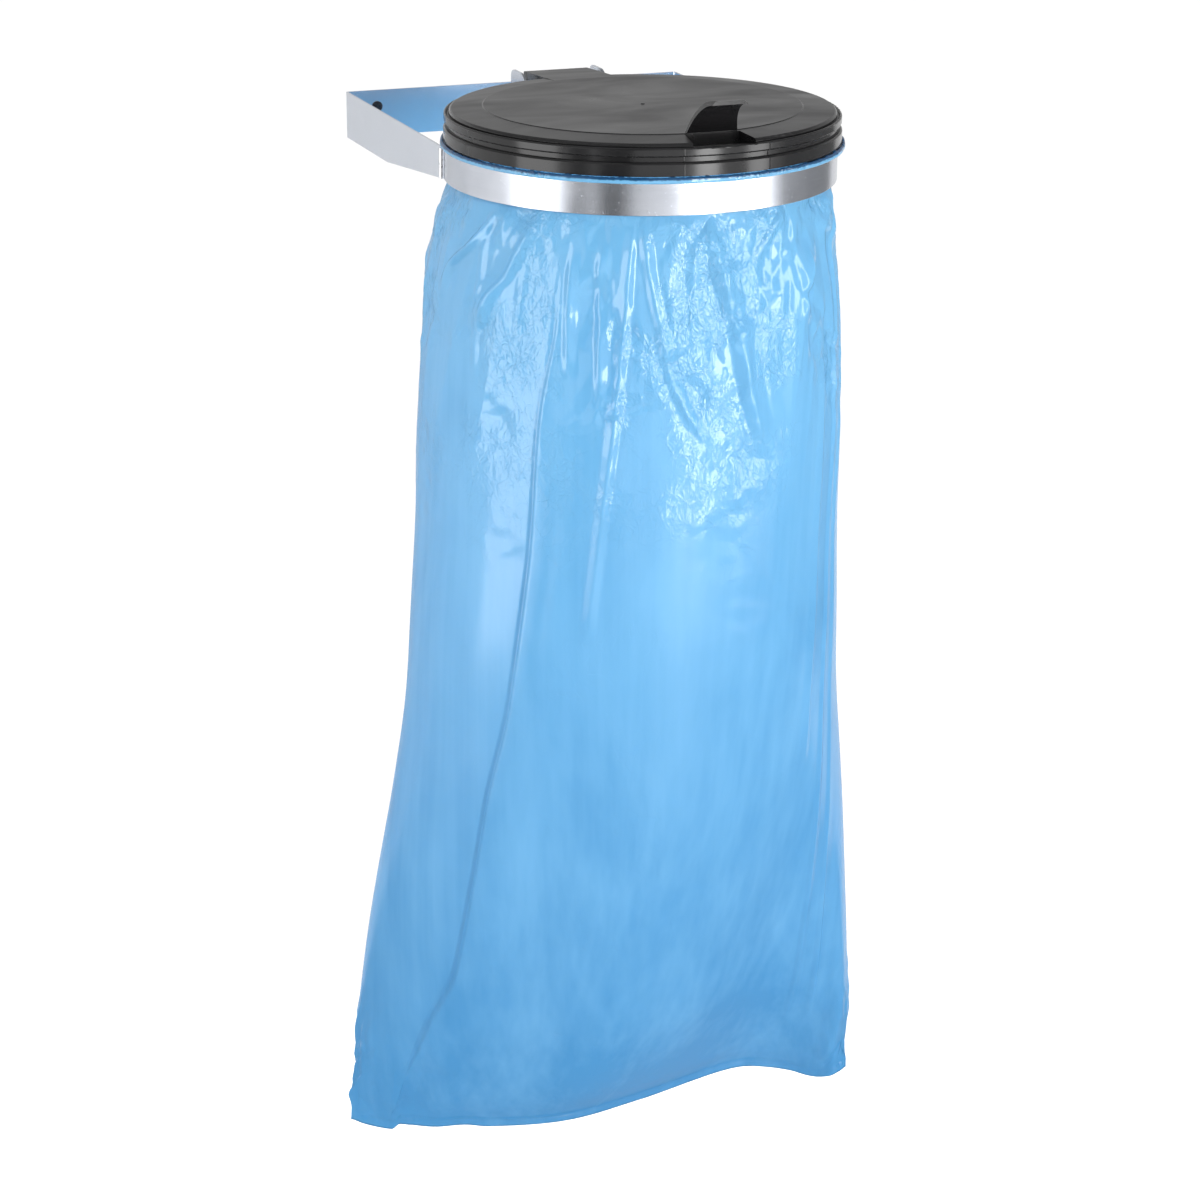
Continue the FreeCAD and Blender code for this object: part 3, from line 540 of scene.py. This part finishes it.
def soft_noise(across, down, cell, stretch, columns, seed):
    """Smooth random relief from about -1 to 1 on the same closed strip."""
    u = across / cell
    v = down / (cell * stretch)
    i, j = np.floor(u), np.floor(v)
    fu, fv = u - i, v - j
    corner = {}
    for a in (0, 1):
        for b in (0, 1):
            slope = 2.0 * math.pi * scatter(np.mod(i + a, columns), j + b, seed)
            corner[a, b] = np.cos(slope) * (fu - a) + np.sin(slope) * (fv - b)
    fu = fu * fu * fu * (fu * (6.0 * fu - 15.0) + 10.0)
    fv = fv * fv * fv * (fv * (6.0 * fv - 15.0) + 10.0)
    left = corner[0, 0] * (1 - fv) + corner[0, 1] * fv
    right = corner[1, 0] * (1 - fv) + corner[1, 1] * fv
    return 1.5 * (left * (1 - fu) + right * fu)


def crumple(across, down, cell, stretch, columns, seed):
    """Relief from -1 to 1 made of flat triangles that meet in straight sharp folds."""
    u = across / cell
    v = down / (cell * stretch)
    i, j = np.floor(u), np.floor(v)
    fu, fv = u - i, v - j
    height = {}
    for a in (0, 1):
        for b in (0, 1):
            height[a, b] = 2.0 * scatter(np.mod(i + a, columns), j + b, seed) - 1.0
    flip = scatter(np.mod(i, columns), j, seed + 5.0) > 0.5
    gu = np.where(flip, 1.0 - fu, fu)
    near_low = np.where(flip, height[1, 0], height[0, 0])
    far_low = np.where(flip, height[0, 0], height[1, 0])
    near_high = np.where(flip, height[1, 1], height[0, 1])
    far_high = np.where(flip, height[0, 1], height[1, 1])
    lower = near_low + gu * (far_low - near_low) + fv * (far_high - far_low)
    upper = near_low + fv * (near_high - near_low) + gu * (far_high - near_high)
    return np.where(gu > fv, lower, upper)


def tent(offset, left, right):
    """1 at the ridge, falling straight to 0 over the left and right widths, its top just eased."""
    easing = 0.001
    lift = 0.0316  # brings the eased top back to 1
    down = np.where(offset < 0, -offset / left, offset / right)
    return np.maximum(0.0, 1.0 - np.sqrt(down * down + easing) + lift) * (down < 1.1)


MM_PER_DEGREE = 3.66  # round the bag
CHEST_RADIUS = 210.0
STRIP = 360.0 * MM_PER_DEGREE
MOST_SAG = 9.0
SMALL_RIDGES = 56
# The facets fan out under the hoop: millimetres per degree and millimetre of depth, to a depth.
FAN = 0.16 / 45.0
FAN_DEPTH = 250.0
# Crumpled facets: cells round the bag, stretch, height and seed.
CRUMPLES = ((28, 1.6, 6.0, 1.0), (57, 1.3, 4.4, 2.0), (108, 1.2, 2.4, 4.0))


def ridge(angle, depth, line, left, right, height, start, end, fade=40.0):
    """A fold along a line of (depth, angle) points."""
    offset = turned(angle - through(line, depth)) * MM_PER_DEGREE
    along = ease(depth, start, start + fade) * (1.0 - ease(depth, end - fade, end))
    return height * along * tent(offset, left, right)


# Folds that stand out on the bag's front: line, left and right widths, height, start, end.
FRONT_FOLDS = [
    ([(0, -1), (50, -1), (115, -2), (205, -3.4), (330, -6), (480, -8)], 9, 7, 3.6, -4, 440),
    ([(0, 1), (57, 4.6), (113, 8), (163, 11.5), (215, 19)], 7, 9, 4.0, -4, 235),
    ([(0, 21), (66, 25), (116, 29), (183, 33), (230, 37)], 10, 20, 6.0, -4, 240),
    ([(0, -9), (60, -9), (120, -8), (200, -7)], 6, 11, 4.0, 20, 190),
    ([(0, -17), (60, -17), (120, -16.5), (200, -15)], 6, 9, 3.4, 20, 165),
    ([(0, -44), (40, -51), (71, -61), (120, -66)], 9, 12, 6.0, -4, 110),
    ([(0, -29), (39, -33), (65, -36), (87, -41), (140, -47)], 8, 10, 5.0, 2, 135),
    ([(0, 47), (20, 42), (40, 38), (60, 36)], 8, 12, 5.0, -4, 60),
    ([(0, 76), (200, 74), (600, 70), (1000, 68)], 5, 9, 2.6, 0, 1010),
    ([(0, 84), (200, 80), (600, 78), (1000, 76)], 7, 5, 2.2, 30, 1000),
    ([(0, 66), (200, 65), (600, 62), (900, 60)], 12, 5, 1.8, 90, 620),
]
# The one crease that runs the bag's whole length: (depth, angle) points.
LONG_CREASE = [(0, -20), (95, -20), (200, -23), (350, -24.6), (510, -27), (620, -29.5)]
LONG_CREASE += [(720, -28.7), (826, -28), (900, -33), (1020, -38)]
LAP_HEIGHT = 4.0
GROOVE_DEPTH = 1.3
# The flat face: its foot and crest as (depth, angle) points, its tilt in degrees, the width of
# the drop behind its crest, and the depths it starts and ends at.
PANEL_FOOT = [(0, 38), (57, 36), (107, 37), (200, 45), (260, 47)]
PANEL_CREST = [(0, 57), (45, 57), (107, 52), (145, 51), (200, 49.5), (260, 49)]
PANEL_TILT = 2.0
PANEL_BACK = 22.0
PANEL_REACH = (34.0, 250.0)
# Where the film is gathered at the hoop's lower edge: (angle, lean in degrees per 100 mm) pairs.
GATHERS = [(-62.0, -5.0), (-45.0, -7.0), (-32.0, -5.0), (-20.0, -1.5), (-9.0, 0.5), (-1.0, -1.0)]
GATHERS += [(6.0, 5.0), (21.0, 7.0), (33.0, 4.0), (48.0, 0.0), (63.0, -3.0), (77.0, 0.0)]
BACK_GATHERS = (92.0, 285.0)  # from and to this angle they are random


def panel(angle, depth, foot, crest, tilt, back, start, end):
    """A broad flat face that leans out from a foot line to a crest line, then drops back."""
    low = turned(through(foot, depth)) * MM_PER_DEGREE
    high = turned(through(crest, depth)) * MM_PER_DEGREE
    here = turned(angle) * MM_PER_DEGREE
    width = np.maximum(high - low, 1.0)
    place = np.clip(here - low, 0.0, width)
    rise = place * math.tan(math.radians(tilt)) + place * place / (2.0 * CHEST_RADIUS)
    drop = np.clip(1.0 - (here - high) / back, 0.0, 1.0)
    along = ease(depth, start, start + 40.0) * (1.0 - ease(depth, end - 60.0, end))
    return rise * drop * along


def strung(angle, depth):
    """Film that runs straight from one gather to the next, instead of round the bag."""
    gathers = list(GATHERS)
    draw = np.random.default_rng(5)
    place, last = BACK_GATHERS
    while place < last:
        gathers.append((place, draw.uniform(-3.0, 3.0)))
        place += draw.uniform(12.0, 22.0)
    sag = np.zeros(angle.shape)
    first = gathers[0][0]
    here = (angle - first) % 360.0 + first
    for count, (place, lean) in enumerate(gathers):
        next_place, next_lean = gathers[(count + 1) % len(gathers)]
        next_place += 360.0 * (count + 1 == len(gathers))
        low = place + lean * depth / 100.0
        width = np.maximum(next_place + next_lean * depth / 100.0 - low, 0.1)
        share = ((here - low) % 360.0) / width
        inside = share < 1.0
        chord = (width * MM_PER_DEGREE) ** 2 * share * (1.0 - share) / (2.0 * CHEST_RADIUS)
        sag = np.where(inside, np.minimum(chord, MOST_SAG), sag)
    return -sag * ease(depth, 4.0, 60.0) * (1.0 - ease(depth, 170.0, 330.0))


def front_folds(angle, depth):
    """The folds that stand out on the bag's front, and the flat face to the right of them."""
    relief = np.zeros(angle.shape)
    for line, left, right, height, start, end in FRONT_FOLDS:
        relief = relief + ridge(angle, depth, line, left, right, height, start, end)
    flat_face = panel(angle, depth, PANEL_FOOT, PANEL_CREST, PANEL_TILT, PANEL_BACK, *PANEL_REACH)
    return relief + flat_face


def long_crease(angle, depth):
    """A shallow lap along the crease's line, with a narrow groove beside it."""
    step = turned(angle - through(LONG_CREASE, depth)) * MM_PER_DEGREE
    lap = ease(step, -1.5, 2.0) * (1.0 - ease(step, 2.0, 75.0))
    groove = tent(step + 2.6, 2.6, 2.4)
    lapped = LAP_HEIGHT * lap * ease(depth, 20.0, 200.0)
    return lapped - GROOVE_DEPTH * groove * ease(depth, 60.0, 300.0)


def small_ridges(angle, depth):
    """Short random pleats that start at the hoop and, on the front, lean outwards."""
    relief = np.zeros(angle.shape)
    draw = np.random.default_rng(12)
    for count in range(SMALL_RIDGES):
        place = -180.0 + 360.0 * (count + draw.uniform(-0.4, 0.4)) / SMALL_RIDGES
        length = draw.uniform(30.0, 210.0)
        lean = 0.05 * place * draw.uniform(0.0, 1.5) * (abs(place) < 90.0) + draw.uniform(-3.0, 3.0)
        line = [(-20, place), (100, place + lean), (400, place + 1.8 * lean)]
        left, right = draw.uniform(3.0, 12.0), draw.uniform(3.0, 12.0)
        height = draw.uniform(0.10, 0.24) * min(left, right)
        relief = relief + ridge(angle, depth, line, left, right, height, -6.0, length)
    return relief


def crumpled(angle, depth):
    """Flat facets: dense at the hoop, in patches below it, and again in the foot's corners."""
    across = (angle + 180.0) * MM_PER_DEGREE
    side = np.abs(turned(angle))
    bend = 5.0 * soft_noise(across, depth, STRIP / 24, 1.0, 24, 5.0)
    fan = FAN * turned(angle) * (1.0 - ease(side, 90.0, 170.0)) * np.minimum(depth, FAN_DEPTH)
    u = across + bend - fan
    v = depth + 0.6 * bend
    patches = soft_noise(u, v, STRIP / 15, 1.4, 15, 11.0)
    busy = (1.0 - ease(depth, 60.0, 330.0)) * (0.10 + 0.90 * ease(patches, -0.05, 0.25))
    busy = busy + 0.25 * ease(patches, 0.25, 0.6) * (1.0 - ease(depth, 300.0, 620.0))
    busy = busy + 0.5 * (1.0 - ease(depth, 20.0, 60.0))
    # calmer at the side folds
    busy = busy * (1.0 - 0.6 * ease(side, 66.0, 80.0) * (1.0 - ease(side, 100.0, 115.0)))
    corners = ease(np.abs(np.cos(np.radians(angle + FRONT))), 0.8, 0.98)
    foot = 0.8 * corners * ease(depth, 850.0, 1000.0) + 0.25 * ease(depth, 960.0, 1040.0)
    busy = np.clip(busy + foot, 0.0, 1.0)
    relief = np.zeros(angle.shape)
    for cells, stretch, height, seed in CRUMPLES:
        folded = crumple(u + 0.3 * v, v - 0.25 * u, STRIP / cells, stretch, cells, seed)
        relief = relief + height * busy * folded
    return relief


def long_waves(angle, depth):
    """Slow waves down the length of the bag, which die out at the hoop and at the foot."""
    across = (angle + 180.0) * MM_PER_DEGREE
    waves = soft_noise(across, depth, STRIP / 9, 4.0, 9, 21.0) * 4.0
    waves = waves + soft_noise(across, depth, STRIP / 21, 6.0, 21, 25.0) * 1.3
    return waves * ease(depth, 60.0, 320.0) * (1.0 - ease(depth, 930.0, 1040.0))


def film_relief(angle, depth):
    """How far the film stands out from the smooth bag, in millimetres."""
    relief = front_folds(angle, depth) + strung(angle, depth) + long_crease(angle, depth)
    relief = relief + small_ridges(angle, depth) + crumpled(angle, depth)
    relief = relief + long_waves(angle, depth)
    tight_at_hoop = ease(depth, -8.0, 14.0)
    flat_at_weld = 1.0 - 0.75 * ease(depth, 1025.0, 1044.0)
    return relief * tight_at_hoop * flat_at_weld


def bag_skin(angle, depth):
    """The film's points at angles in degrees from FRONT and depths in millimetres."""
    bearing = np.radians(angle + FRONT)
    across = np.cos(bearing)
    half_width = through(HALF_WIDTH, depth)
    half_depth = through(HALF_DEPTH, depth)
    wave = ease(depth, 420.0, FOOT_DEPTH) * through(FOOT_WAVE, across)
    out_x = across
    out_y = np.sin(bearing) * half_width / np.maximum(half_depth, 60.0)
    length = np.hypot(out_x, out_y)
    relief = film_relief(angle, depth)
    relief = relief - relief.mean(axis=1, keepdims=True) * ease(depth, -8.0, 60.0)
    flat = 1.0 - ease(depth, 900.0, WELD_DEPTH)
    x = through(MIDDLE_X, depth) + half_width * across + relief * out_x / length
    thickness = half_depth * np.sin(bearing) + relief * out_y / length * flat
    # near the foot the two layers lie together, so both follow the same folds
    lie = relief * (1.0 - flat) * 0.8
    corner = ease(-across, 0.50, 0.90) + 0.7 * ease(across, 0.80, 0.97)
    folded = crumple(half_width * across + 300.0, depth, 26.0, 1.7, 64, 41.0)
    lie = lie + CORNER_FOLD * corner * folded * ease(depth, 830.0, 990.0)
    y = through(MIDDLE_Y, depth) + wave + thickness + lie
    drop = depth + ease(depth, 930.0, WELD_DEPTH) * through(FOOT_EDGE, across)
    return np.stack([mm(x), hoop_centre.y + mm(y), band_bottom - mm(drop)], axis=-1)


def wrapped_edge(turns):
    """The rows of film points over the clamp ring, with small teeth and lumps along the edge."""
    bearing = np.radians(turns + FRONT)
    wander = (turns + 180.0) * MM_PER_DEGREE
    teeth = facets(wander, wander * 0.0, STRIP / 150, 1.0, 150, 31.0)
    lumps = soft_noise(wander, wander * 0.0, STRIP / 60, 1.0, 60, 33.0)
    rows = []
    for count, (radius, level) in enumerate(WRAP):
        edge = max(0.0, 1.0 - count / 3.0)
        outside = count < 9
        out = radius + (0.35 * lumps + 0.3 * teeth) * outside - 0.4 * edge * teeth
        up = level + edge * (2.4 * teeth - 0.8)
        x = ring_centre.x + mm(out * np.cos(bearing))
        y = ring_centre.y + mm(out * np.sin(bearing))
        rows.append(np.stack([x, y, band_bottom + mm(up)], axis=-1))
    return rows


def row_depths():
    """The depths of the rows of points: close at the top, where the film is crumpled."""
    depths = [WALL_DEPTH]
    while depths[-1] < FOOT_DEPTH - 16.0:
        here = depths[-1]
        depths.append(here + 1.9 + 4.4 * float(ease(here, 270.0, 520.0)) * (here < 940.0))
    return np.array(depths + WELD_ROWS)


def build_bag():
    """One continuous film surface, its last row joined front to back as the foot's edge."""
    bearings = -180.0 + 360.0 * np.arange(AROUND) / AROUND - FRONT
    turns = turned(bearings)
    angle, depth = np.meshgrid(turns, row_depths())
    rows = wrapped_edge(turns)
    skin = bag_skin(angle, depth)
    points = np.concatenate([np.array(rows), skin])
    count_rows = len(points)
    vertices = points.reshape(-1, 3)
    index = np.arange(count_rows * AROUND).reshape(count_rows, AROUND)
    mirror = (AROUND - np.arange(AROUND)) % AROUND
    index[-1] = np.minimum(index[-1], index[-1][mirror])
    low, high = index[:-1], index[1:]
    quads = np.stack([low, high, np.roll(high, -1, 1), np.roll(low, -1, 1)], axis=-1)
    mesh = bpy.data.meshes.new("refuse_bag_film")
    mesh.from_pydata(vertices.tolist(), [], quads.reshape(-1, 4).tolist())
    mesh.validate()
    mesh.update()
    shape = bmesh.new()
    shape.from_mesh(mesh)
    loose = [v for v in shape.verts if not v.link_faces]
    bmesh.ops.delete(shape, geom=loose, context="VERTS")
    shape.to_mesh(mesh)
    shape.free()
    mesh.polygons.foreach_set("use_smooth", [True] * len(mesh.polygons))
    mesh.materials.append(blue_film)
    bag = bpy.data.objects.new("refuse_bag_film", mesh)
    scene.collection.objects.link(bag)
    return bag


bag = build_bag()
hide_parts("refuse_bag")
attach(bag, "holder")


# ---------------------------------------------------------------- stage, light and camera

floor_mesh = bpy.data.meshes.new("floor")
reach = 40.0
floor_height = -1.34
panel_foot = floor_height + 0.01
floor_mesh.from_pydata(
    [(-reach, -reach, 0), (reach, -reach, 0), (reach, reach, 0), (-reach, reach, 0)],
    [],
    [(0, 1, 2, 3)],
)
floor = bpy.data.objects.new("floor", floor_mesh)
floor.location.z = floor_height
scene.collection.objects.link(floor)
floor_mesh.materials.append(floor_finish("pale_floor"))


def soft_box(name, place, target, width, height, power):
    """An oblong studio light that points from its place at the target."""
    light = bpy.data.lights.new(name, "AREA")
    light.shape = "RECTANGLE"
    light.size = width
    light.size_y = height
    light.energy = power
    lamp = bpy.data.objects.new(name, light)
    lamp.location = place
    lamp.rotation_euler = (Vector(target) - Vector(place)).to_track_quat("-Z", "Y").to_euler()
    scene.collection.objects.link(lamp)


middle = (0.0, hoop_centre.y, -0.4)


def seen_from(turn, distance, height):
    """A place round the bag, turned from the camera's side to the right by degrees."""
    bearing = math.radians(FRONT + turn)
    return (distance * math.cos(bearing), hoop_centre.y + distance * math.sin(bearing), height)


soft_box("right_box", seen_from(36, 2.6, -0.25), middle, 0.6, 2.1, 33)
soft_box("side_box", seen_from(67, 2.6, -0.2), middle, 0.6, 2.0, 18)
soft_box("strip_behind", seen_from(180, 1.2, -0.75), (0.0, -0.2, -0.15), 0.3, 0.8, 24)
soft_box("left_box", seen_from(-60, 2.6, -0.15), middle, 1.2, 2.2, 23)


def reflected_only(name, corners, shade):
    """A dull panel that only reflections see, as a photographer sets round a shiny object."""
    mesh = bpy.data.meshes.new(name)
    mesh.from_pydata(corners, [], [tuple(range(len(corners)))])
    panel_object = bpy.data.objects.new(name, mesh)
    scene.collection.objects.link(panel_object)
    material, tree, output = new_material(name)
    cloth = noise_value(tree, position(tree), 3.0)
    pale = shade * 1.1
    colour = ramp(tree, cloth, [(0.3, (shade, shade, shade)), (0.7, (pale, pale, pale))])
    shader = node(tree, "ShaderNodeBsdfPrincipled", {"Base Color": colour, "Roughness": 1.0})
    tree.links.new(shader.outputs[0], output.inputs[0])
    mesh.materials.append(material)
    panel_object.visible_camera = False
    panel_object.visible_diffuse = False
    panel_object.visible_transmission = False
    panel_object.visible_shadow = False


def dark_flag(name, turn, distance, width, low, high, shade):
    """An upright panel, turned to face the bag, between two heights."""
    foot = Vector(seen_from(turn, distance, 0.0))
    bearing = math.radians(FRONT + turn)
    side = Vector((-math.sin(bearing), math.cos(bearing), 0.0)) * (width / 2)
    low, high = Vector((0.0, 0.0, low)), Vector((0.0, 0.0, high))
    corners = [foot - side + low, foot + side + low, foot + side + high, foot - side + high]
    reflected_only(name, corners, shade)


def dark_mat(name, behind, far, height, shade):
    """A half disc on the floor in front of the bag, carried on a way behind it."""
    corners = [Vector(seen_from(turn, far, height)) for turn in range(-90, 91, 15)]
    back = Vector(seen_from(180, behind, 0.0)) - hoop_centre
    corners += [corners[-1] + back, corners[0] + back]
    reflected_only(name, corners, shade)


dark_mat("mat_in_front", 0.6, 2.4, panel_foot, 0.22)
dark_flag("flag_by_camera", -14, 2.4, 0.75, panel_foot, -0.1, 0.03)
dark_flag("flag_right", 112, 2.0, 2.2, panel_foot, 0.1, 0.22)
dark_flag("flag_behind_left", -137, 2.0, 1.8, panel_foot, 0.3, 0.57)
dark_flag("flag_left", -34, 2.0, 0.35, panel_foot, -0.15, 0.05)
sun = bpy.data.lights.new("overhead", "SUN")
sun.energy = 2.4
sun.angle = math.radians(80.0)
overhead = bpy.data.objects.new("overhead", sun)
overhead.visible_glossy = False
overhead.rotation_euler = (math.radians(12.0), 0.0, math.radians(-20.0))
scene.collection.objects.link(overhead)

world = bpy.data.worlds.new("studio")
scene.world = world
world.use_nodes = True
sky = world.node_tree
looking = node(sky, "ShaderNodeTexCoord").outputs["Generated"]
direction = node(sky, "ShaderNodeSeparateXYZ", {0: looking})
bearing = maths(sky, "ARCTAN2", direction.outputs[1], direction.outputs[0])
# 0 behind the bag as the camera sees it, 0.5 at the camera, more to the right of it
turn = maths(sky, "DIVIDE", bearing, 2 * math.pi)
round_it = maths(sky, "FRACT", maths(sky, "ADD", turn, 0.5 - FRONT / 360.0))
GREYS = [(0.0, 0.78), (0.10, 0.88), (0.17, 0.95), (0.39, 1.0), (0.42, 0.75), (0.44, 0.1)]
GREYS += [(0.49, 0.1), (0.52, 0.95), (0.68, 0.95), (0.74, 0.5), (0.95, 0.6), (1.0, 0.78)]
grey = ramp(sky, round_it, [(place, (value, value, value)) for place, value in GREYS])
overhead_shade = spread(sky, direction.outputs[2], 0.36, 0.52, 0.85, 0.36)
sky.links.new(grey, sky.nodes["Background"].inputs[0])
sky.links.new(overhead_shade, sky.nodes["Background"].inputs[1])

camera_data = bpy.data.cameras.new("camera")
camera_data.lens = 97.8
camera_data.sensor_width = 36.0
camera_data.clip_end = 100.0
camera = bpy.data.objects.new("camera", camera_data)
camera_place = (-1.2154, -3.4305, 0.6514)
yaw, pitch, roll = math.radians(-21.084), math.radians(18.909), math.radians(0.286)
level_back = Vector((math.sin(yaw), -math.cos(yaw), 0.0))
backward = level_back * math.cos(pitch) + Vector((0.0, 0.0, math.sin(pitch)))
level_right = Vector((math.cos(yaw), math.sin(yaw), 0.0))
level_up = backward.cross(level_right)
right = math.cos(roll) * level_right + math.sin(roll) * level_up
upward = backward.cross(right)
turned_axes = Matrix((right, upward, backward)).transposed().to_4x4()
camera.matrix_world = Matrix.Translation(camera_place) @ turned_axes
scene.collection.objects.link(camera)
scene.camera = camera
